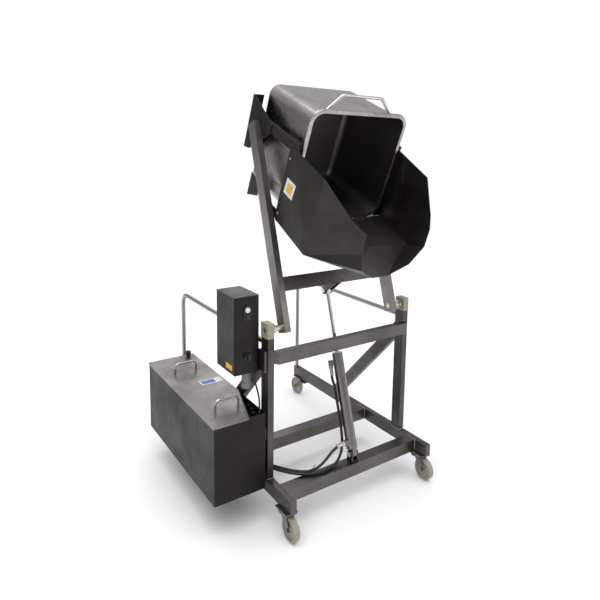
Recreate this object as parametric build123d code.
"""Mobile hydraulic bin tipper: a wheeled stainless frame whose swinging arms lift a 200 litre meat
bin from the floor at the rear and tip it over a sheet-metal chute at the front.

Millimetres, +Z up. While it is worked out, the model stands on z = 0, x = 0 is the middle between
the two legs and y = 0 is the front end of the legs; +Y is the loading side. The arms are drawn
raised. At the end everything is moved so that the origin is the middle of the whole footprint.
"""
import math
import os

from build123d import *

# ---- base frame -------------------------------------------------------------------------------
FRAME_HALF = 485.0          # middle of the frame to the outer face of a leg
LEG_LENGTH = 1430.0
TUBE_W = 35.0               # rectangular tube, across the frame
TUBE_H = 70.0               # rectangular tube, the tall side
TUBE_WALL = 3.0
CAP = 3.0                   # end plate welded into an open tube end
CASTER_HEIGHT = 150.0       # floor to the underside of a leg
FRONT_CROSS_Y = 90.0        # front face of the front cross tube
REAR_CROSS_Y = 556.0        # front face of the rear cross tube
POST_Y = 227.0              # front face of the posts
POST_HEIGHT = 757.0         # standing on the legs
BAR_DEPTH = 40.0            # top bar, lies on the front faces of the posts
BAR_HEIGHT = 65.0
BAR_DROP = 61.0             # post top down to the top of the bar
BAR_OVERLAP = 21.0          # bar end past the inner face of each post
BAR_MITRE = 28.0            # how much shorter the bar is at its front face
BRACE_REACH = 585.0         # post rear face to the middle of the brace's foot
BRACE_TOP = 625.0           # middle of the brace's upper end above the legs
RAIL_DIA = 27.0             # round tube guard rails
RAIL_WALL = 2.0
RAIL_HEIGHT = 723.0         # rail axis above the legs
RAIL_BEND = 70.0            # bend radius at the tube's axis

# ---- pivot ------------------------------------------------------------------------------------
BLOCK_HEIGHT = 78.0         # plastic bearing block on each post
BLOCK_WIDTH = 38.0
BLOCK_ROUND = 4.0
PIN_DIA = 30.0
COLLAR_DIA = 46.0
COLLAR_WIDTH = 12.0
COLLAR_GAP = 8.0            # collar to the bearing block

# ---- swinging frame ---------------------------------------------------------------------------
ARM_HALF = 388.0            # middle to the outer face of an arm
ARM_LENGTH = 1105.0         # pivot to the arm's upper end
ARM_FOOT = 30.0             # pivot to the arm's lower end
ARM_LEAN = 17.5             # raised arms, degrees behind vertical
TIP_ANGLE = 113.0           # swing from the floor to the raised position
CROSS_AT = 217.0            # pivot to the middle of the arm cross tube
CROSS_TALL = 75.0           # cross tube along the arm
CROSS_DEEP = 45.0
CROSS_WALL = 4.0

# ---- bin, measured standing on the floor, from the pivot --------------------------------------
BIN_RIM_Z = -286.0          # top of the rim, below the pivot
BIN_FRONT = 456.0           # front edge of the rim, behind the pivot
BIN_LONG = 621.0            # rim, front to rear
BIN_WIDE = 633.0            # rim, left to right
BIN_DEPTH = 486.0
BIN_RIM = 17.0              # width of the rim outside the wall
BIN_RIM_THICK = 14.0
BIN_TAPER = 5.0             # the bottom is this much narrower on each side
BIN_CORNER = 78.0           # outer corner radius of the rim
BIN_WALL = 2.5
BIN_FLOOR_ROUND = 40.0
HANDLE_TUBE = 16.0
HANDLE_BASE = 446.0         # bow handle, width at the wall
HANDLE_TOP = 256.0          # width at the grip
HANDLE_OUT = 82.0           # grip axis out from the wall
HANDLE_DROP = 44.0          # below the rim's top

# ---- cradle -----------------------------------------------------------------------------------
ANGLE = 50.0                # angle iron leg
ANGLE_THICK = 5.0
RAIL_REAR = 890.0           # rear end of the cradle rail behind the pivot, bin on the floor
RAIL_FRONT = 452.0
CHUTE_REAR = 28.0           # chute side, short of the rail's rear end
CHUTE_FRONT = -4.0          # chute side, short of the rail's front end
LEDGE = 60.0                # inward flange under each guide plate
BIN_PLAY = 1.0              # rail to the bin's wall, with the rim resting on the rail
PLATE = 4.0

# ---- chute: corner points for the right half, from the pivot, arms raised ---------------------
CHUTE_SHEET = 3.0
CHUTE_STRIP = 36.0          # flat strip of the side lying on the cradle rail
BOLT_HEAD = 13.0
CHUTE_POINTS = {
    "brow": (336.0, -289.0, 775.0),
    "cheek": (257.0, -397.0, 590.0),
    "nose": (206.0, -443.0, 526.0),
    "chin": (205.0, -410.0, 432.0),
    "lip_side": (159.0, -353.0, 337.0),
    "lip": (52.0, -313.0, 282.0),
    "keel": (350.0, -136.0, 399.0),
}

# ---- hydraulic cylinder -----------------------------------------------------------------------
FOOT_Y = 125.0              # foot pin, in the middle of the front cross tube
FOOT_RISE = 42.0            # foot pin above the cross tube
EYE_BACK = 133.0            # rod eye behind the pivot, arms raised
EYE_UP = 115.0              # rod eye above the pivot, arms raised
BARREL_DIA = 60.0
BARREL_BORE = 48.0
BARREL_LENGTH = 552.0       # foot pin to the barrel's top
BARREL_SEAM = 300.0         # weld collar round the barrel
PORT = 30.0                 # port block, along and across the barrel
PORT_REACH = 28.0           # upper port block out from the barrel
PORT_TURN = -35.0           # upper port block turned towards the rear
PORT_UPPER = 502.0          # foot pin to the middle of each port block
PORT_LOWER = 64.0
ROD_DIA = 22.0
EYE_DIA = 44.0
EYE_WIDTH = 26.0
PIN_SMALL = 16.0
PIN_HEAD = 26.0
HEAD_THICK = 5.0
PIN_FIT = 0.08              # running clearance, all round
PISTON_TALL = 40.0
GLAND_TALL = 18.0
CHEEK = 8.0                 # clevis cheeks
CHEEK_GAP = 2.0             # cheek to eye

# ---- hoses and cable: routes from the cylinder and control box to the power unit ---------------
HOSE_DIA = 15.0
CABLE_DIA = 9.0
UPPER_HOSE_ON_BARREL = [    # distance along the barrel, distance out from its axis
    (487.0, 47.0), (455.0, 47.0), (418.0, 50.0), (378.0, 43.5), (338.0, 41.5), (297.0, 43.0),
    (256.0, 41.5), (215.0, 42.4), (174.0, 41.5), (133.0, 42.6), (97.0, 45.0),
]
UPPER_HOSE_TO_UNIT = [
    (-41.5, 169.5, 322.0), (-46.5, 163.0, 298.0), (-59.5, 155.0, 267.5), (-84.0, 144.5, 243.5),
    (-116.0, 133.0, 232.0), (-153.0, 123.0, 229.5), (-196.0, 118.0, 229.5), (-240.0, 122.0, 229.5),
    (-282.0, 136.0, 230.0), (-322.0, 160.0, 231.0), (-358.0, 192.0, 232.0), (-390.0, 230.0, 234.0),
    (-416.0, 270.0, 236.0), (-441.0, 308.0, 238.0), (-468.0, 336.0, 240.0), (-503.0, 352.0, 243.0),
    (-539.0, 365.0, 245.0), (-573.0, 376.0, 246.0),
]
LOWER_HOSE = [
    (-110.0, 146.0, 313.0), (-138.0, 149.0, 290.0), (-165.0, 150.0, 266.0),
    (-198.0, 147.0, 249.0), (-236.0, 143.0, 240.0), (-274.0, 151.0, 234.0), (-311.0, 176.0, 233.0),
    (-345.0, 207.0, 234.0), (-375.0, 243.0, 236.0), (-401.0, 281.0, 238.0), (-428.0, 318.0, 240.0),
    (-460.0, 348.0, 243.0), (-501.0, 369.0, 246.0), (-541.0, 386.0, 248.0), (-574.0, 399.0, 249.0),
]
CABLE_HIGH = (-524.0, 304.0)    # gland under the control box
CABLE_LOW = (-532.0, 232.0)     # gland in the power unit's open corner
CONTROL_CABLE = [
    (-524.0, 304.0, 757.0), (-519.0, 297.0, 729.0), (-515.0, 286.0, 701.0), (-514.0, 272.0, 673.0),
    (-518.0, 256.5, 647.0), (-527.0, 240.0, 624.0), (-532.0, 232.0, 601.0),
]
HOSE_PLAY = 0.4             # hose end to the valve block it is screwed into

# ---- power unit -------------------------------------------------------------------------------
UNIT_GAP = 21.0             # leg to power unit
UNIT_WIDE = 283.0
UNIT_LONG = 952.0
UNIT_HIGH = 412.0
UNIT_Y = 215.0              # front face
UNIT_Z = 189.0              # underside above the floor
SHEET = 2.0
LID_HIGH = 10.0
LID_LIP = 1.0               # play between the lid's skirt and the case
LID_NOTCH_X = 94.0          # corner cut off the lid where the lines come out
LID_NOTCH_Y = 295.0
TRAY_DROP = 40.0            # floor under the cut corner, below the lid
TRAY_GLANDS = ((42.0, 52.0), (27.0, 96.0), (18.0, 140.0))   # in from the leg side and the front
GLAND_DIA = 24.0
GLAND_HIGH = 30.0
HOSE_HOLE = 56.0            # in the wall beside the leg
HOSE_HOLE_Y = 359.0
HOSE_HOLE_Z = 245.0
CABLE_BOSS = 14.0           # cable gland
TANK_WALL = 3.0
FILLER_DIA = 50.0
GRIP_TUBE = 12.0
GRIP_WIDE = 130.0
GRIP_HIGH = 52.0
GRIP_BEND = 22.0
GRIP_INSET = 152.0          # lid's front edge to the first handle
GRIP_REAR = 240.0           # lid's rear edge to the second handle

# ---- control box ------------------------------------------------------------------------------
BOX_GAP = 17.0              # leg face to the box
BOX_WIDE = 139.0
BOX_DEEP = 212.0
BOX_HIGH = 402.0
BOX_Y = 289.0
BOX_Z = 797.0
BOX_ROUND = 8.0
BEZEL_WIDE = 42.0
BEZEL_HIGH = 76.0
BEZEL_THICK = 6.0
BUTTON_DIA = 26.0
BUTTON_LONG = 16.0
BUTTON_PITCH = 34.0
BUTTON_TRAVEL = 4.0
BUTTON_FIT = 0.4
BUTTONS_Z = 86.0            # box top down to the middle of the bezel
SELECTOR_DIA = 36.0
SELECTOR_Z = 91.0           # above the box's underside

# ---- casters ----------------------------------------------------------------------------------
WHEEL_DIA = 125.0
WHEEL_WIDE = 32.0
TRAIL = 38.0                # swivel axis to the wheel axis
PLATE_THICK = 6.0
FORK_SHEET = 4.0
FORK_GAP = 3.0              # fork cheek to the wheel
AXLE_DIA = 12.0
CASTER_INSET = 62.0         # leg end to the swivel axis
SWIVEL_GAP = 1.0            # top plate to the fork
KING_DIA = 14.0

# ---- worked out from the sizes above ----------------------------------------------------------
LEG_TOP = CASTER_HEIGHT + TUBE_H
POST_TOP = LEG_TOP + POST_HEIGHT
LEG_X = FRAME_HALF - TUBE_W / 2
INNER_X = FRAME_HALF - TUBE_W
PIVOT_Y = POST_Y + TUBE_H / 2
PIVOT_Z = POST_TOP + BLOCK_HEIGHT / 2
ARM_X = ARM_HALF - TUBE_W / 2
ARM_INNER = ARM_HALF - TUBE_W
CRADLE_X = ARM_INNER - PLATE
RAIL_Z = BIN_RIM_Z - BIN_RIM_THICK
RAIL_INNER = BIN_WIDE / 2 - BIN_RIM + BIN_PLAY
PIVOT = Vector(0, PIVOT_Y, PIVOT_Z)
FOOT = Vector(0, FOOT_Y, LEG_TOP + FOOT_RISE)
EYE = Vector(0, PIVOT_Y + EYE_BACK, PIVOT_Z + EYE_UP)
STROKE_DIR = (EYE - FOOT).normalized()
CYL_LEAN = math.degrees(math.atan2(STROKE_DIR.Y, STROKE_DIR.Z))
CYL_LENGTH = (EYE - FOOT).length
UNIT_RIGHT = -FRAME_HALF - UNIT_GAP
UNIT_LEFT = UNIT_RIGHT - UNIT_WIDE
UNIT_TOP = UNIT_Z + UNIT_HIGH
BOX_RIGHT = -FRAME_HALF - BOX_GAP
BOX_LEFT = BOX_RIGHT - BOX_WIDE
BOX_MID = (BOX_LEFT + BOX_RIGHT) / 2
VALVE_FACE = (UNIT_LEFT + UNIT_RIGHT) / 2 + 40
CORNERS = {
    "front_left": (-LEG_X, CASTER_INSET, -1),
    "front_right": (LEG_X, CASTER_INSET, -1),
    "rear_left": (-LEG_X, LEG_LENGTH - CASTER_INSET, 1),
    "rear_right": (LEG_X, LEG_LENGTH - CASTER_INSET, 1),
}

nodes = {}


def block(x0, x1, y0, y1, z0, z1):
    """A box between two corners."""
    return Pos((x0 + x1) / 2, (y0 + y1) / 2, (z0 + z1) / 2) * Box(x1 - x0, y1 - y0, z1 - z0)


def rod_x(dia, x0, x1, y, z):
    """A round bar along X."""
    return Pos((x0 + x1) / 2, y, z) * Rot(0, 90, 0) * Cylinder(dia / 2, x1 - x0)


def rod_y(dia, y0, y1, x, z):
    """A round bar along Y."""
    return Pos(x, (y0 + y1) / 2, z) * Rot(90, 0, 0) * Cylinder(dia / 2, y1 - y0)


def rod_z(dia, z0, z1, x, y):
    """A round bar along Z."""
    return Pos(x, y, (z0 + z1) / 2) * Cylinder(dia / 2, z1 - z0)


def both(shape):
    """The shape and its mirror image across the middle of the frame."""
    return [shape, mirror(shape, about=Plane.YZ)]


def pipe(points, radii, dia, bore=0.0):
    """A round tube, or a solid bar when bore is 0, along straight runs joined by arcs."""
    path = FilletPolyline(*points, radius=radii) if radii else Polyline(*points)
    start = Plane(origin=path @ 0, z_dir=path % 0)
    section = start * Circle(dia / 2)
    if bore:
        section -= start * Circle(bore / 2)
    return sweep(section, path=path)


def soft_line(name, points, dia):
    """A cord's tube: straight runs joined by arcs as large as its runs allow."""
    spots = [Vector(*p) for p in points]
    radii = []
    for a, b, c in zip(spots, spots[1:], spots[2:]):
        turn = math.radians((b - a).get_angle(c - b))
        radii.append(0.45 * min((b - a).length, (c - b).length) / math.tan(turn / 2))
    path = FilletPolyline(*spots, radius=radii)
    tube = sweep(Plane(origin=path @ 0, z_dir=path % 0) * Circle(dia / 2), path=path)
    nodes[name] = tube
    share = tube.volume / (math.pi * dia * dia / 4 * path.length)
    print(name, "length", round(path.length, 1), "tightest", round(min(radii), 1), "fill", round(share, 3))


def at_arm(shape):
    """Puts a shape drawn along +Z from the pivot onto the raised arms."""
    return Pos(0, PIVOT_Y, PIVOT_Z) * Rot(-ARM_LEAN, 0, 0) * shape


def raised(shape):
    """Puts a shape drawn from the pivot, with the bin on the floor, into the raised position."""
    return Pos(0, PIVOT_Y, PIVOT_Z) * Rot(TIP_ANGLE, 0, 0) * shape


def raised_point(x, y, z):
    """The raised position of a point given from the pivot with the bin on the floor."""
    swing = math.radians(TIP_ANGLE)
    return Vector(x, PIVOT_Y + y * math.cos(swing) - z * math.sin(swing),
                  PIVOT_Z + y * math.sin(swing) + z * math.cos(swing))


def along_cylinder(shape):
    """Puts a shape drawn along +Z from the foot pin onto the cylinder's line."""
    return Pos(0, FOOT.Y, FOOT.Z) * Rot(-CYL_LEAN, 0, 0) * shape


# ---- base frame -------------------------------------------------------------------------------
def make_frame():
    leg = block(INNER_X, FRAME_HALF, 0, LEG_LENGTH, CASTER_HEIGHT, LEG_TOP)
    leg -= block(INNER_X + TUBE_WALL, FRAME_HALF - TUBE_WALL, 0, LEG_LENGTH,
                 CASTER_HEIGHT + TUBE_WALL, LEG_TOP - TUBE_WALL)
    nodes["leg_right"], nodes["leg_left"] = both(leg)
    for name, front in (("front_cross_tube", FRONT_CROSS_Y), ("rear_cross_tube", REAR_CROSS_Y)):
        tube = block(-INNER_X, INNER_X, front, front + TUBE_H, CASTER_HEIGHT, LEG_TOP)
        nodes[name] = tube - block(-INNER_X, INNER_X, front + TUBE_WALL, front + TUBE_H - TUBE_WALL,
                                   CASTER_HEIGHT + TUBE_WALL, LEG_TOP - TUBE_WALL)
    post = block(INNER_X, FRAME_HALF, POST_Y, POST_Y + TUBE_H, LEG_TOP, POST_TOP)
    post -= block(INNER_X + TUBE_WALL, FRAME_HALF - TUBE_WALL, POST_Y + TUBE_WALL,
                  POST_Y + TUBE_H - TUBE_WALL, LEG_TOP, POST_TOP)
    nodes["post_right"], nodes["post_left"] = both(post)

    bar_top = POST_TOP - BAR_DROP
    bar_back = INNER_X + BAR_OVERLAP
    bar_front = bar_back - BAR_MITRE
    outline = Polyline((-bar_back, POST_Y), (bar_back, POST_Y), (bar_front, POST_Y - BAR_DEPTH),
                       (-bar_front, POST_Y - BAR_DEPTH), close=True)
    bar = Pos(0, 0, bar_top - BAR_HEIGHT) * extrude(make_face(outline), BAR_HEIGHT)
    hollow = block(-bar_back, bar_back, POST_Y - BAR_DEPTH + TUBE_WALL, POST_Y - TUBE_WALL,
                   bar_top - BAR_HEIGHT + TUBE_WALL, bar_top - TUBE_WALL)
    nodes["top_bar"] = bar - hollow

    caps = []
    for y0 in (0, LEG_LENGTH - CAP):
        caps += both(block(INNER_X + TUBE_WALL, FRAME_HALF - TUBE_WALL, y0, y0 + CAP,
                           CASTER_HEIGHT + TUBE_WALL, LEG_TOP - TUBE_WALL))
    mitred = bar & hollow
    inside = Pos(0, 0, bar_top - BAR_HEIGHT) * extrude(
        make_face(Polyline((-bar_back + CAP, POST_Y), (bar_back - CAP, POST_Y),
                           (bar_front - CAP, POST_Y - BAR_DEPTH),
                           (CAP - bar_front, POST_Y - BAR_DEPTH), close=True)), BAR_HEIGHT)
    caps += (mitred - inside).solids()
    nodes["frame_end_caps"] = caps

    slope = math.atan2(BRACE_REACH, BRACE_TOP)
    half = TUBE_H / 2
    foot_half = half / math.cos(slope)
    top_half = half / math.sin(slope)
    rear = POST_Y + TUBE_H
    profile = Polyline((rear, LEG_TOP + BRACE_TOP - top_half), (rear, LEG_TOP + BRACE_TOP + top_half),
                       (rear + BRACE_REACH + foot_half, LEG_TOP),
                       (rear + BRACE_REACH - foot_half, LEG_TOP), close=True)
    wall_foot = TUBE_WALL / math.cos(slope)
    wall_top = TUBE_WALL / math.sin(slope)
    inner = Polyline((rear, LEG_TOP + BRACE_TOP - top_half + wall_top),
                     (rear, LEG_TOP + BRACE_TOP + top_half - wall_top),
                     (rear + BRACE_REACH + foot_half - wall_foot, LEG_TOP),
                     (rear + BRACE_REACH - foot_half + wall_foot, LEG_TOP), close=True)
    brace = Pos(INNER_X, 0, 0) * extrude(Plane.YZ * make_face(profile), TUBE_W)
    brace -= Pos(INNER_X + TUBE_WALL, 0, 0) * extrude(Plane.YZ * make_face(inner),
                                                      TUBE_W - 2 * TUBE_WALL)
    nodes["braces"] = both(brace)

    rail_y = LEG_LENGTH - RAIL_DIA / 2 - CAP
    rail_z = LEG_TOP + RAIL_HEIGHT
    rail = pipe([(LEG_X, rail_y, LEG_TOP), (LEG_X, rail_y, rail_z), (LEG_X, POST_Y + TUBE_H, rail_z)],
                RAIL_BEND, RAIL_DIA, RAIL_DIA - 2 * RAIL_WALL)
    nodes["guard_rails"] = both(rail)


# ---- bearings on the posts --------------------------------------------------------------------
def make_bearings():
    mid_y = PIVOT_Y
    body = block(INNER_X, INNER_X + BLOCK_WIDTH, POST_Y, POST_Y + TUBE_H, POST_TOP,
                 POST_TOP + BLOCK_HEIGHT)
    body = fillet(body.edges().filter_by(Axis.X).group_by(Axis.Z)[-1], BLOCK_ROUND)
    body -= rod_x(PIN_DIA + 2 * PIN_FIT, INNER_X, INNER_X + BLOCK_WIDTH, mid_y, PIVOT_Z)
    screw_x = INNER_X + BLOCK_WIDTH / 2
    shank, head, sunk = 8.0, 13.0, 30.0
    screws = []
    top = POST_TOP + BLOCK_HEIGHT
    for side in (-1, 1):
        y = mid_y + side * (PIN_DIA / 2 + shank)
        body -= rod_z(head, top - shank, top, screw_x, y)
        body -= rod_z(shank, top - sunk, top, screw_x, y)
        screws.append(rod_z(head, top - shank, top + 1, screw_x, y)
                      + rod_z(shank, top - sunk, top - shank, screw_x, y)
                      - Pos(screw_x, y, top - 1) * extrude(RegularPolygon(4, 6), 3))
    nodes["bearing_blocks"] = both(body)
    nodes["block_screws"] = [s for screw in screws for s in both(screw)]


# ---- swinging frame ---------------------------------------------------------------------------
def make_arms():
    half = TUBE_H / 2
    tube = block(ARM_INNER, ARM_HALF, -half, half, -ARM_FOOT, ARM_LENGTH)
    tube -= block(ARM_INNER + TUBE_WALL, ARM_HALF - TUBE_WALL, -half + TUBE_WALL, half - TUBE_WALL,
                  -ARM_FOOT, ARM_LENGTH)
    tube -= rod_x(PIN_DIA, ARM_INNER, ARM_HALF, 0, 0)
    nodes["arm_right"], nodes["arm_left"] = both(at_arm(tube))
    caps = []
    for z0 in (-ARM_FOOT, ARM_LENGTH - CAP):
        caps += both(at_arm(block(ARM_INNER + TUBE_WALL, ARM_HALF - TUBE_WALL, -half + TUBE_WALL,
                                  half - TUBE_WALL, z0, z0 + CAP)))
    nodes["arm_end_caps"] = caps

    pin = rod_x(PIN_DIA, ARM_INNER, INNER_X + BLOCK_WIDTH - 3, PIVOT_Y, PIVOT_Z)
    collar_x = INNER_X - COLLAR_GAP
    pin += rod_x(COLLAR_DIA, collar_x - COLLAR_WIDTH, collar_x, PIVOT_Y, PIVOT_Z)
    nodes["pivot_pins"] = both(pin)

    deep0, deep1 = -half, -half + CROSS_DEEP
    low, high = CROSS_AT - CROSS_TALL / 2, CROSS_AT + CROSS_TALL / 2
    cross = block(-ARM_INNER, ARM_INNER, deep0, deep1, low, high)
    cross -= block(-ARM_INNER, ARM_INNER, deep0 + CROSS_WALL, deep1 - CROSS_WALL,
                   low + CROSS_WALL, high - CROSS_WALL)
    cross = at_arm(cross)
    inner = EYE_WIDTH / 2 + CHEEK_GAP
    lug_low = Pos(0, EYE.Y, EYE.Z) * Rot(0, 90, 0) * Cylinder(EYE_DIA / 2, CHEEK)
    lean = math.radians(ARM_LEAN)
    corners = []
    for deep, tall in ((deep0 + 6, low), (deep1, low), (deep1, high - 6)):
        corners.append((PIVOT_Y + deep * math.cos(lean) + tall * math.sin(lean),
                        PIVOT_Z - deep * math.sin(lean) + tall * math.cos(lean)))
    web = extrude(Plane.YZ * make_face(Polyline(corners[0], corners[1], corners[2],
                                                (EYE.Y + EYE_DIA / 2, EYE.Z),
                                                (EYE.Y - EYE_DIA / 2, EYE.Z), close=True)),
                  CHEEK / 2, both=True)
    cheek = (lug_low + web) - rod_x(PIN_SMALL, -CHEEK, CHEEK, EYE.Y, EYE.Z)
    cheek -= at_arm(block(-CHEEK, CHEEK, deep0, deep1, low, high))
    for side in (-1, 1):
        cross += Pos(side * (inner + CHEEK / 2), 0, 0) * cheek
    nodes["arm_cross_tube"] = cross
    stub = rod_x(PIN_SMALL, inner, inner + CHEEK, EYE.Y, EYE.Z)
    stub += rod_x(PIN_HEAD, inner + CHEEK, inner + CHEEK + HEAD_THICK, EYE.Y, EYE.Z)
    nodes["rod_pin"] = both(stub)


# ---- cradle, drawn with the bin on the floor --------------------------------------------------
def make_cradle():
    arm_dir = math.radians(ARM_LEAN + TIP_ANGLE)
    tip_y, tip_z = ARM_LENGTH * math.sin(arm_dir), ARM_LENGTH * math.cos(arm_dir)
    web = CRADLE_X - ANGLE_THICK
    frame = block(RAIL_INNER, CRADLE_X, RAIL_FRONT, RAIL_REAR, RAIL_Z - ANGLE_THICK, RAIL_Z)
    frame += block(web, CRADLE_X, RAIL_FRONT, RAIL_REAR, RAIL_Z - ANGLE, RAIL_Z)
    frame += block(web, CRADLE_X, RAIL_REAR - ANGLE, RAIL_REAR, tip_z + TUBE_H, RAIL_Z)
    frame += block(CRADLE_X - ANGLE / 2, CRADLE_X, RAIL_REAR - ANGLE_THICK, RAIL_REAR,
                   tip_z + TUBE_H, RAIL_Z)
    hanger_y = RAIL_FRONT + ANGLE
    hanger_z = hanger_y / math.tan(arm_dir)
    frame += block(web, CRADLE_X, RAIL_FRONT, hanger_y, hanger_z - TUBE_H / 2, RAIL_Z)
    nodes["cradle_rails"] = both(raised(frame))

    ledge_y0, ledge_y1, ledge_z = tip_y - 175, tip_y + 130, tip_z - 88
    tip_plate = Polyline((ledge_y0, ledge_z), (ledge_y1, ledge_z), (ledge_y1 - 2, ledge_z + 20),
                         (RAIL_REAR, tip_z + 160), (RAIL_REAR - ANGLE, tip_z + 160),
                         (ledge_y0 + 14, ledge_z + 62), close=True)
    hook_y, hook_z = tip_y - 410, tip_z + 52
    mid_plate = Polyline((hook_y, hook_z), (hook_y + 141, hook_z + 4), (hook_y + 120, hook_z + 100),
                         (hook_y + 45, hook_z + 109), close=True)
    plates = []
    for outline in (tip_plate, mid_plate):
        sheet = extrude(Plane.YZ * make_face(outline), PLATE)
        plates += [Pos(CRADLE_X, 0, 0) * sheet]
    plates[0] += block(CRADLE_X - LEDGE, CRADLE_X, ledge_y0, ledge_y1, ledge_z, ledge_z + PLATE)
    nodes["guide_plates"] = [piece for plate in plates for piece in both(raised(plate))]


def folded_sheet(corners, facets, thick, middle):
    """A sheet folded along the edges its facets share. The inner skin is the outer one with every
    corner moved towards the middle, along the mean of the normals of the facets that meet there."""
    turned = []
    leans = {name: [] for name in corners}
    for names in facets:
        a, b, c = (corners[name] for name in names[:3])
        normal = (b - a).cross(c - a).normalized()
        if normal.dot(middle - a) < 0:
            names, normal = names[::-1], normal * -1
        turned.append(names)
        for name in names:
            leans[name].append(normal)
    inner = {}
    for name, normals in leans.items():
        mean = sum(normals, Vector(0, 0, 0)).normalized()
        share = sum(mean.dot(n) for n in normals) / len(normals)
        inner[name] = corners[name] + mean * (thick / share)
    faces, edges = [], []
    for names in turned:
        for skin in (corners, inner):
            faces.append(Face(Wire.make_polygon([skin[name] for name in names])))
        edges += list(zip(names, names[1:] + names[:1]))
    for a, b in edges:
        if (b, a) not in edges:
            for rim in ((corners[a], corners[b], inner[b]), (corners[a], inner[b], inner[a])):
                faces.append(Face(Wire.make_polygon(rim)))
    return Solid(Shell(faces))


def make_chute():
    """The facets of each side fan round the keel corner; two more span from side to side."""
    outer_x = CRADLE_X + CHUTE_SHEET
    strip_y0, strip_y1 = RAIL_FRONT + CHUTE_FRONT, RAIL_REAR - CHUTE_REAR
    half = {name: Vector(x, PIVOT_Y + y, PIVOT_Z + z) for name, (x, y, z) in CHUTE_POINTS.items()}
    half["rail_top"] = raised_point(outer_x, strip_y1, RAIL_Z)
    half["rail_foot"] = raised_point(outer_x, strip_y0, RAIL_Z)
    half["strip_top"] = raised_point(outer_x, strip_y1, RAIL_Z - CHUTE_STRIP)
    half["strip_foot"] = raised_point(outer_x, strip_y0, RAIL_Z - CHUTE_STRIP)
    corners = {}
    for name, p in half.items():
        corners["right " + name] = p
        corners["left " + name] = Vector(-p.X, p.Y, p.Z)
    fan = ("rail_top", "brow", "cheek", "nose", "chin", "lip_side", "lip")
    one_side = [("keel", a, b) for a, b in zip(fan, fan[1:])]
    one_side += [("rail_top", "keel", "rail_foot"), ("rail_top", "rail_foot", "strip_foot"),
                 ("rail_top", "strip_foot", "strip_top")]
    facets = [tuple(f"{side} {name}" for name in names) for side in ("right", "left")
              for names in one_side]
    facets.append(("right rail_foot", "right keel", "left keel", "left rail_foot"))
    facets.append(("right keel", "right lip", "left lip", "left keel"))
    middle = Vector(0, PIVOT_Y - 150, PIVOT_Z + 700)
    rail_room = raised(block(RAIL_INNER, CRADLE_X, RAIL_FRONT, RAIL_REAR, RAIL_Z - ANGLE, RAIL_Z))
    sheet = folded_sheet(corners, facets, CHUTE_SHEET, middle) - both(rail_room)
    nodes["chute"] = sheet.solids().sort_by(SortBy.VOLUME)[-1]
    bolts = []
    for share in (0.12, 0.86):
        head = extrude(RegularPolygon(BOLT_HEAD / 2, 6), BOLT_HEAD / 2)
        spot = Pos(outer_x, strip_y0 + share * (strip_y1 - strip_y0), RAIL_Z - CHUTE_STRIP / 2)
        bolts += both(raised(spot * Rot(0, 90, 0) * head))
    nodes["chute_bolts"] = bolts


def make_bin():
    """Drawn standing on the floor, then swung up with the arms."""
    mid_y = BIN_FRONT + BIN_LONG / 2
    rim_z = BIN_RIM_Z
    wide, long = BIN_WIDE - 2 * BIN_RIM, BIN_LONG - 2 * BIN_RIM
    round_in = BIN_CORNER - BIN_RIM

    def tub(inset, top, bottom, base_inset):
        upper = Plane.XY.offset(top) * Pos(0, mid_y) * RectangleRounded(
            wide - 2 * inset, long - 2 * inset, round_in - inset)
        lower = Plane.XY.offset(bottom) * Pos(0, mid_y) * RectangleRounded(
            wide - 2 * (inset + base_inset), long - 2 * (inset + base_inset), round_in - inset)
        return loft([lower, upper])

    bottom = rim_z - BIN_DEPTH
    outer = tub(0, rim_z - BIN_RIM_THICK / 2, bottom, BIN_TAPER)
    outer = fillet(outer.edges().group_by(Axis.Z)[0], BIN_FLOOR_ROUND)
    inner = tub(BIN_WALL, rim_z, bottom + BIN_WALL, BIN_TAPER)
    inner = fillet(inner.edges().group_by(Axis.Z)[0], BIN_FLOOR_ROUND - BIN_WALL)
    rim = Pos(0, mid_y, rim_z - BIN_RIM_THICK) * extrude(
        RectangleRounded(BIN_WIDE, BIN_LONG, BIN_CORNER), BIN_RIM_THICK)
    rim = fillet(rim.edges().filter_by(GeomType.LINE, reverse=True).group_by(Axis.Z)[-1]
                 + rim.edges().filter_by(Plane.XY).group_by(Axis.Z)[-1], 5)
    solid_tub = outer + rim
    nodes["bin_tub"] = raised(solid_tub - inner)

    grip_z = rim_z - HANDLE_DROP
    bows = []
    for side, wall in ((-1, BIN_FRONT + BIN_RIM), (1, BIN_FRONT + BIN_LONG - BIN_RIM)):
        reach = wall + side * HANDLE_OUT
        root = wall - side * HANDLE_TUBE
        bow = pipe([(-HANDLE_BASE / 2, root, grip_z), (-HANDLE_TOP / 2, reach, grip_z),
                    (HANDLE_TOP / 2, reach, grip_z), (HANDLE_BASE / 2, root, grip_z)],
                   40, HANDLE_TUBE)
        bows.append(raised(bow - solid_tub))
    nodes["bin_handles"] = bows


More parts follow.
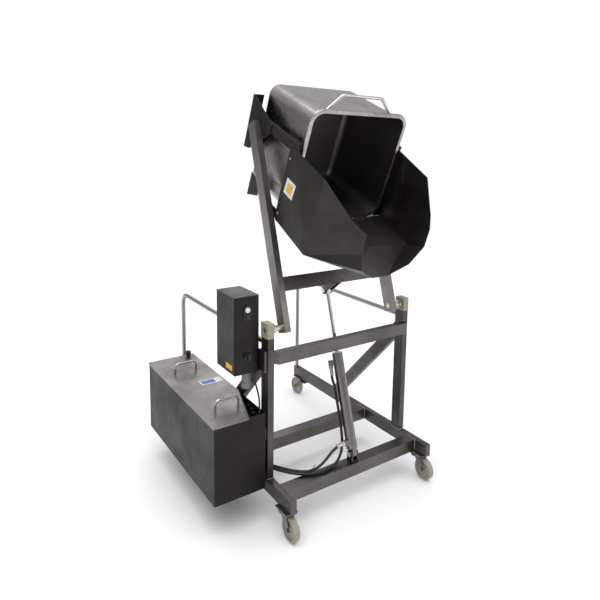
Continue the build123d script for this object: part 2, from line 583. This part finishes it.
# ---- hydraulic cylinder -----------------------------------------------------------------------
def make_cylinder():
    eye_cross = rod_x(EYE_DIA, -EYE_WIDTH / 2, EYE_WIDTH / 2, 0, 0)
    hole = rod_x(PIN_SMALL + 2 * PIN_FIT, -EYE_WIDTH, EYE_WIDTH, 0, 0)
    base = EYE_DIA / 2 + 6
    barrel = Pos(0, 0, (BARREL_LENGTH + base) / 2) * Cylinder(BARREL_DIA / 2, BARREL_LENGTH - base)
    barrel -= Pos(0, 0, (BARREL_LENGTH + base + 20) / 2) * Cylinder(
        BARREL_BORE / 2, BARREL_LENGTH - base - 20)
    neck = block(-EYE_WIDTH / 2, EYE_WIDTH / 2, -EYE_DIA / 2, EYE_DIA / 2, 0, base)
    barrel += (eye_cross + neck) - hole
    barrel += Pos(0, 0, BARREL_SEAM) * (Cylinder(BARREL_DIA / 2 + 1.5, 5) - Cylinder(BARREL_BORE / 2, 6))
    for z, turn, reach in ((PORT_UPPER, PORT_TURN, PORT_REACH), (PORT_LOWER, 0, PORT_REACH - 12)):
        port = block(-BARREL_DIA / 2 - reach, -BARREL_DIA / 2 + 4, -PORT / 2, PORT / 2, z - PORT / 2,
                     z + PORT / 2)
        barrel += Rot(0, 0, turn) * (port - Pos(0, 0, z) * Cylinder(BARREL_BORE / 2 + 2, 60))
    nodes["cylinder_barrel"] = along_cylinder(barrel)
    gland = Pos(0, 0, BARREL_LENGTH - GLAND_TALL / 2) * Cylinder(BARREL_BORE / 2, GLAND_TALL)
    gland += Pos(0, 0, BARREL_LENGTH + 3) * Cylinder(BARREL_DIA / 2 - 3, 6)
    gland -= Pos(0, 0, BARREL_LENGTH) * Cylinder(ROD_DIA / 2 + PIN_FIT, 2 * BARREL_LENGTH)
    nodes["cylinder_gland"] = along_cylinder(gland)

    piston_z = BARREL_LENGTH - GLAND_TALL - PISTON_TALL - 12
    piston = Pos(0, 0, piston_z) * (Cylinder(BARREL_BORE / 2 - PIN_FIT, PISTON_TALL)
                                    - Cylinder(ROD_DIA / 2, PISTON_TALL))
    nodes["piston"] = along_cylinder(piston)
    low = piston_z - PISTON_TALL / 2
    rod = Pos(0, 0, (low + CYL_LENGTH - EYE_DIA / 4) / 2) * Cylinder(
        ROD_DIA / 2, CYL_LENGTH - EYE_DIA / 4 - low)
    rod += Pos(0, 0, CYL_LENGTH) * eye_cross
    rod -= Pos(0, 0, CYL_LENGTH) * hole
    nodes["piston_rod"] = along_cylinder(rod)

    inner = EYE_WIDTH / 2 + CHEEK_GAP
    plate = block(-CHEEK / 2, CHEEK / 2, -EYE_DIA / 2, EYE_DIA / 2, -FOOT_RISE, 0)
    plate += rod_x(EYE_DIA, -CHEEK / 2, CHEEK / 2, 0, 0)
    plate -= rod_x(PIN_SMALL, -CHEEK, CHEEK, 0, 0)
    bracket = block(-inner - CHEEK, inner + CHEEK, -EYE_DIA / 2, EYE_DIA / 2, -FOOT_RISE,
                    -FOOT_RISE + CHEEK)
    for side in (-1, 1):
        bracket += Pos(side * (inner + CHEEK / 2), 0, 0) * plate
    nodes["foot_bracket"] = Pos(0, FOOT.Y, FOOT.Z) * bracket
    reach = inner + CHEEK
    nodes["foot_pin"] = (rod_x(PIN_SMALL, -reach, reach, FOOT.Y, FOOT.Z)
                         + rod_x(PIN_HEAD, -reach - HEAD_THICK, -reach, FOOT.Y, FOOT.Z)
                         + rod_x(PIN_HEAD, reach, reach + HEAD_THICK, FOOT.Y, FOOT.Z))


def make_lines():
    """Two hoses from the cylinder's ports to the valve block, and the control box's cable."""
    lean = math.radians(CYL_LEAN)
    turn = math.radians(PORT_TURN)
    upper = []
    for along, out in UPPER_HOSE_ON_BARREL:
        x, deep = -out * math.cos(turn), -out * math.sin(turn)
        upper.append((x, FOOT.Y + along * math.sin(lean) + deep * math.cos(lean),
                      FOOT.Z + along * math.cos(lean) - deep * math.sin(lean)))
    end = VALVE_FACE + HOSE_PLAY
    soft_line("hose_upper", upper + UPPER_HOSE_TO_UNIT + [(end, 376.0, 246.0)], HOSE_DIA)
    port_x = -BARREL_DIA / 2 - PORT_REACH + 12
    port_y = FOOT.Y + PORT_LOWER * math.sin(lean)
    port_z = FOOT.Z + PORT_LOWER * math.cos(lean)
    soft_line("hose_lower", [(port_x, port_y, port_z), (port_x - PORT, port_y, port_z)] + LOWER_HOSE
              + [(end, 399.0, 249.0)], HOSE_DIA)
    start = (*CABLE_HIGH, BOX_Z - CABLE_BOSS)
    end = (*CABLE_LOW, UNIT_TOP - TRAY_DROP + SHEET + CABLE_BOSS)
    soft_line("control_cable", [start] + CONTROL_CABLE + [end], CABLE_DIA)


# ---- casters ----------------------------------------------------------------------------------
def make_casters():
    plates = []
    cheek_in = WHEEL_WIDE / 2 + FORK_GAP
    for name, (x, y, way) in CORNERS.items():
        top = CASTER_HEIGHT
        plate = block(x - 34, x + 34, y - 48, y + 48, top - PLATE_THICK, top)
        plate += rod_z(KING_DIA, top - PLATE_THICK - 22, top - PLATE_THICK, x, y)
        plates.append(plate)
        race_top = top - PLATE_THICK - SWIVEL_GAP
        race = rod_z(54, race_top - 14, race_top, x, y)
        race -= rod_z(KING_DIA + 2 * PIN_FIT, race_top - 14, race_top, x, y)
        wheel_y = y + way * TRAIL
        wheel_z = WHEEL_DIA / 2
        crown_z = race_top - 14
        cheek = Polyline((y - way * 24, crown_z), (y + way * 30, crown_z),
                         (wheel_y + way * 16, wheel_z), (wheel_y, wheel_z - 16),
                         (wheel_y - way * 16, wheel_z), close=True)
        fork = race
        crown_half = cheek_in + FORK_SHEET
        fork += block(x - crown_half, x + crown_half, min(y - way * 24, y + way * 30),
                      max(y - way * 24, y + way * 30), crown_z - 3, crown_z) \
            - rod_z(KING_DIA + 2 * PIN_FIT, crown_z - 3, crown_z, x, y)
        for side in (-1, 1):
            start = x + side * cheek_in - (FORK_SHEET if side < 0 else 0)
            fork += Pos(start, 0, 0) * extrude(Plane.YZ * make_face(cheek), FORK_SHEET)
        fork += rod_x(AXLE_DIA, x - crown_half - 6, x + crown_half + 6, wheel_y, wheel_z)
        for side in (-1, 1):
            fork += Pos(x + side * (crown_half + 3), wheel_y, wheel_z) * Rot(0, 90, 0) * Cylinder(10, 6)

        tread = rod_x(WHEEL_DIA, x - WHEEL_WIDE / 2, x + WHEEL_WIDE / 2, wheel_y, wheel_z)
        tread = fillet(tread.edges().filter_by(GeomType.CIRCLE), 5)
        for side in (-1, 1):
            face_x = x + side * (WHEEL_WIDE / 2 - 3)
            tread -= rod_x(WHEEL_DIA - 26, face_x - 3, face_x + 3, wheel_y, wheel_z)
        tread += rod_x(34, x - WHEEL_WIDE / 2 - 1, x + WHEEL_WIDE / 2 + 1, wheel_y, wheel_z)
        tread -= rod_x(AXLE_DIA + 2 * PIN_FIT, x - WHEEL_WIDE, x + WHEEL_WIDE, wheel_y, wheel_z)
        nodes[f"caster_{name}_wheel"] = tread

        pivot_y, pivot_z = y - way * 40, crown_z - 6
        ear_gap = 0.3
        ears = []
        for side in (-1, 1):
            ears.append(block(x + side * 22 - 2, x + side * 22 + 2, min(y - way * 22, pivot_y - way * 7),
                              max(y - way * 22, pivot_y - way * 7), pivot_z - 7, pivot_z + 7))
        for ear in ears:
            fork += ear
        fork += rod_x(5, x - 24, x + 24, pivot_y, pivot_z)
        nodes[f"caster_{name}_fork"] = fork
        pedal = rod_x(13, x - 20 + ear_gap, x + 20 - ear_gap, pivot_y, pivot_z)
        pedal += block(x - 19, x + 19, min(pivot_y, pivot_y - way * 46), max(pivot_y, pivot_y - way * 46),
                       pivot_z - 3, pivot_z + 3)
        pedal -= rod_x(5 + 2 * PIN_FIT, x - 30, x + 30, pivot_y, pivot_z)
        nodes[f"caster_{name}_pedal"] = pedal
    nodes["caster_top_plates"] = plates


# ---- power unit -------------------------------------------------------------------------------
def make_power_unit():
    x0, x1 = UNIT_LEFT, UNIT_RIGHT
    y0, y1 = UNIT_Y, UNIT_Y + UNIT_LONG
    z0, z1 = UNIT_Z, UNIT_TOP
    case = block(x0, x1, y0, y1, z0, z1) - block(x0 + SHEET, x1 - SHEET, y0 + SHEET, y1 - SHEET,
                                                 z0 + SHEET, z1)
    tray_z = z1 - TRAY_DROP
    case += block(x1 - LID_NOTCH_X, x1 - SHEET, y0 + SHEET, y0 + LID_NOTCH_Y, tray_z, tray_z + SHEET)
    case += rod_z(2 * CABLE_DIA, tray_z + SHEET, tray_z + SHEET + CABLE_BOSS, *CABLE_LOW)
    for inward, back in TRAY_GLANDS:
        case += rod_z(GLAND_DIA, tray_z + SHEET, tray_z + SHEET + GLAND_HIGH, x1 - inward, y0 + back)
    case -= rod_x(HOSE_HOLE, x1 - 2 * SHEET, x1, HOSE_HOLE_Y, HOSE_HOLE_Z)
    nodes["unit_case"] = case
    lid = block(x0 - SHEET - LID_LIP, x1 + SHEET + LID_LIP, y0 - SHEET - LID_LIP,
                y1 + SHEET + LID_LIP, z1 + 0.5 - LID_HIGH, z1 + 0.5 + SHEET)
    lid -= block(x0 - LID_LIP, x1 + LID_LIP, y0 - LID_LIP, y1 + LID_LIP, z1 - LID_HIGH, z1 + 0.5)
    over, slant = 10, LID_NOTCH_X / LID_NOTCH_Y
    notch = Polyline((x1 - LID_NOTCH_X - over * slant, y0 - over), (x1 + over, y0 - over),
                     (x1 + over, y0 + LID_NOTCH_Y + over / slant), close=True)
    lid -= Pos(0, 0, z1 - 2 * LID_HIGH) * extrude(make_face(notch), 3 * LID_HIGH)
    nodes["unit_lid"] = lid
    grips = []
    lid_top = z1 + 0.5 + SHEET
    mid_x = (x0 + x1) / 2
    for y in (y0 + GRIP_INSET, y1 - GRIP_REAR):
        left, right, top = mid_x - GRIP_WIDE / 2, mid_x + GRIP_WIDE / 2, lid_top + GRIP_HIGH
        grips.append(pipe([(left, y, lid_top), (left, y, top), (right, y, top), (right, y, lid_top)],
                          GRIP_BEND, GRIP_TUBE))
    nodes["lid_handles"] = grips
    mounts = [block(x1, -FRAME_HALF, y, y + 60, z0 + 2, LEG_TOP - 4)
              for y in (POST_Y + 120, LEG_LENGTH - 400)]
    mounts.append(block(x1, -FRAME_HALF, POST_Y + 10, POST_Y + TUBE_H - 10, z1 - 160, z1 - 100))
    nodes["unit_mounts"] = mounts
    tank = block(x0 + 30, x1 - 40, y1 - 420, y1 - 40, z0 + SHEET, z0 + 260)
    tank = fillet(tank.edges().filter_by(Axis.Z), 15)
    tank -= block(x0 + 30 + TANK_WALL, x1 - 40 - TANK_WALL, y1 - 420 + TANK_WALL, y1 - 40 - TANK_WALL,
                  z0 + SHEET + TANK_WALL, z0 + 260 - TANK_WALL)
    tank -= rod_z(FILLER_DIA, z0 + 250, z0 + 260, mid_x, y1 - 100)
    nodes["oil_tank"] = tank
    motor_y0 = y0 + 290
    motor = rod_y(150, motor_y0, y1 - 440, mid_x - 10, z0 + SHEET + 75)
    motor += rod_y(90, motor_y0 - 70, motor_y0, mid_x - 10, z0 + SHEET + 75)
    motor += rod_y(60, y1 - 440, y1 - 420, mid_x - 10, z0 + SHEET + 75)
    nodes["pump_motor"] = motor
    nodes["valve_block"] = block(VALVE_FACE - 100, VALVE_FACE, motor_y0 - 150, motor_y0 - 70,
                                 z0 + SHEET, z0 + 130)


# ---- control box ------------------------------------------------------------------------------
def make_control_box():
    x0, x1 = BOX_LEFT, BOX_RIGHT
    y0, y1 = BOX_Y, BOX_Y + BOX_DEEP
    z0, z1 = BOX_Z, BOX_Z + BOX_HIGH
    case = block(x0, x1, y0, y1, z0, z1)
    case = fillet(case.edges().filter_by(Axis.Z), BOX_ROUND)
    case -= block(x0 + SHEET, x1 - SHEET, y0 + SHEET, y1, z0 + SHEET, z1 - SHEET)
    case += block(x0 + SHEET, x1 - SHEET, y1 - 2 * SHEET, y1 - SHEET, z0 + SHEET, z1 - SHEET)
    mid_z = z1 - BUTTONS_Z
    raise_z, lower_z = mid_z + BUTTON_PITCH / 2, mid_z - BUTTON_PITCH / 2
    bore = BUTTON_DIA - 6
    for z in (raise_z, lower_z):
        case -= rod_y(bore + 2, y0 - 5, y0 + 5, BOX_MID, z)
    select_z = z0 + SELECTOR_Z
    case -= rod_y(14, y0 - 5, y0 + 5, BOX_MID, select_z)
    case += rod_z(2 * CABLE_DIA, z0 - CABLE_BOSS, z0, *CABLE_HIGH)
    nodes["control_case"] = case
    slab = Pos(BOX_MID, y0, mid_z) * Rot(90, 0, 0) * extrude(
        SlotOverall(BEZEL_HIGH, BEZEL_WIDE, rotation=90), BEZEL_THICK)
    for z in (raise_z, lower_z):
        slab -= rod_y(BUTTON_DIA + 2 * BUTTON_FIT, y0 - BEZEL_THICK, y0, BOX_MID, z)
    nodes["button_bezel"] = slab
    front = y0 - BEZEL_THICK
    for name, z in (("button_raise", raise_z), ("button_lower", lower_z)):
        cap = rod_y(BUTTON_DIA, front - BUTTON_TRAVEL - 2, y0 - BUTTON_TRAVEL - 0.5, BOX_MID, z)
        cap = fillet(cap.edges().group_by(Axis.Y)[0], 1.5)
        cap += rod_y(bore - 4, y0 - BUTTON_TRAVEL - 1, y0 + 20, BOX_MID, z)
        nodes[name] = cap
    knob = rod_y(SELECTOR_DIA, y0 - 12, y0 - 0.5, BOX_MID, select_z)
    knob = fillet(knob.edges().group_by(Axis.Y)[0], 2)
    knob += block(BOX_MID - 5, BOX_MID + 5, y0 - 26, y0 - 10, select_z - 15, select_z + 15)
    knob += rod_y(12, y0 - 1, y0 + 20, BOX_MID, select_z)
    nodes["selector_knob"] = knob

    bracket = block(x1, -FRAME_HALF, POST_Y + 8, POST_Y + TUBE_H, z0 + 6, z0 + 116)
    bracket += block(x1, x1 + 6, POST_Y + TUBE_H, y0 + 120, z0 + 6, z0 + 116)
    nodes["control_bracket"] = bracket
    sock_x, sock_y = BOX_MID + 18, y0 + 46
    socket = rod_z(46, z0 - 62, z0, sock_x, sock_y) + rod_z(56, z0 - 6, z0, sock_x, sock_y)
    socket += rod_z(52, z0 - 92, z0 - 62, sock_x, sock_y)
    nodes["control_socket"] = socket


make_frame()
make_bearings()
make_arms()
make_cradle()
make_chute()
make_bin()
make_cylinder()
make_lines()
make_casters()
make_power_unit()
make_control_box()

os.makedirs("parts", exist_ok=True)
everything = []
for shape in nodes.values():
    everything += shape if isinstance(shape, list) else [shape]
extent = Compound(children=[Compound(s.solids()) for s in everything]).bounding_box()
SHIFT = Vector(-extent.center().X, -extent.center().Y, -extent.min.Z)
for name, shape in nodes.items():
    pieces = shape if isinstance(shape, list) else [shape]
    solids = [solid for piece in pieces for solid in piece.solids()]
    moved = [Pos(SHIFT.X, SHIFT.Y, SHIFT.Z) * solid for solid in solids]
    export_step(moved[0] if len(moved) == 1 else Compound(children=moved), f"parts/{name}.step")
print("nodes", len(nodes), "shift", SHIFT, "size", extent.size)
